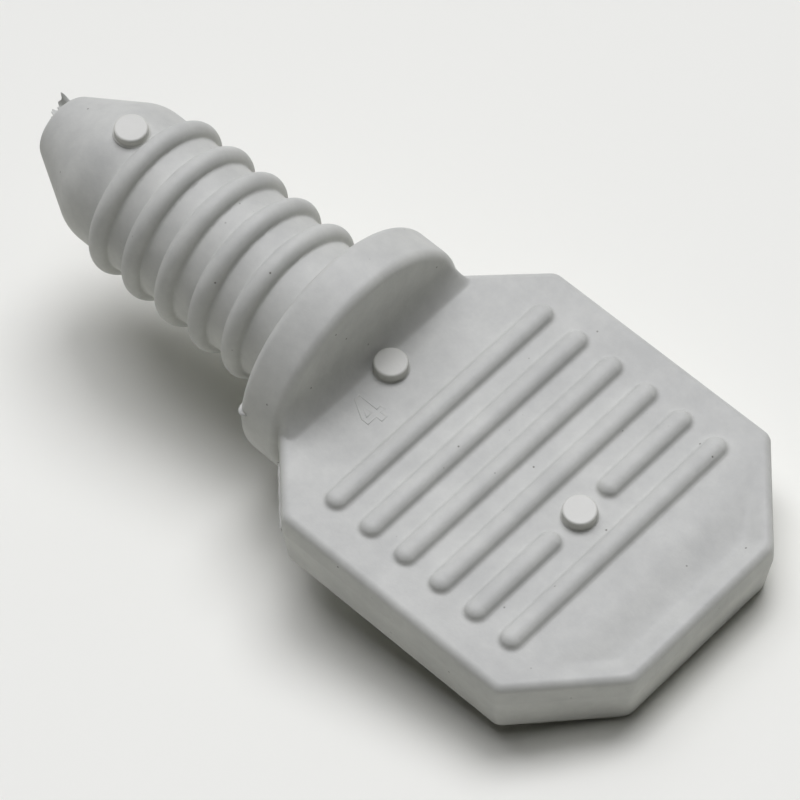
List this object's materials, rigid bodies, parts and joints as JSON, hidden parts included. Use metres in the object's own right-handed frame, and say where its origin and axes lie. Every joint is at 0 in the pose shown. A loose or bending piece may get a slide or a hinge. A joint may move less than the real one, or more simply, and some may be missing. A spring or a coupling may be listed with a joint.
{
  "type": "push-in wall anchor",
  "caption": "Soft plastic push-in wall anchor: a tapered nose and ringed stem press into a drilled hole up to a round collar, behind a flat ribbed finger grip.",
  "frame": {"origin": "middle of the part's bounding box, which lies on the stem's axis, inside the collar, 1.95 mm behind the collar's seating face", "axes": "+X along the stem's axis towards the nose, the way the anchor is pushed in; +Z normal to the grip face that carries the ejector pads; +Y completes a right-handed frame, across the grip"},
  "size_m": [0.039, 0.0174, 0.0116],
  "materials": {
    "body": "soft satin moulded grey",
    "pads": "smooth pin-polished grey"
  },
  "bodies": {
    "root": {"nose_cone": "body", "gate_vestige": "body", "stem_core": "body", "stem_ring_1": "body", "stem_ring_2": "body", "stem_ring_3": "body", "stem_ring_4": "body", "stem_ring_5": "body", "collar": "body", "grip_paddle": "body", "grip_rib_1": "body", "grip_rib_2": "body", "grip_rib_3": "body", "grip_rib_4": "body", "grip_rib_5_left": "body", "grip_rib_5_right": "body", "grip_rib_6": "body", "under_rib_1": "body", "under_rib_2": "body", "under_rib_3": "body", "under_rib_4": "body", "under_rib_5": "body", "under_rib_6": "body", "cavity_number": "body", "ejector_pad_nose": "pads", "ejector_pad_collar": "pads", "ejector_pad_grip": "pads"}
  },
  "joints": []
}
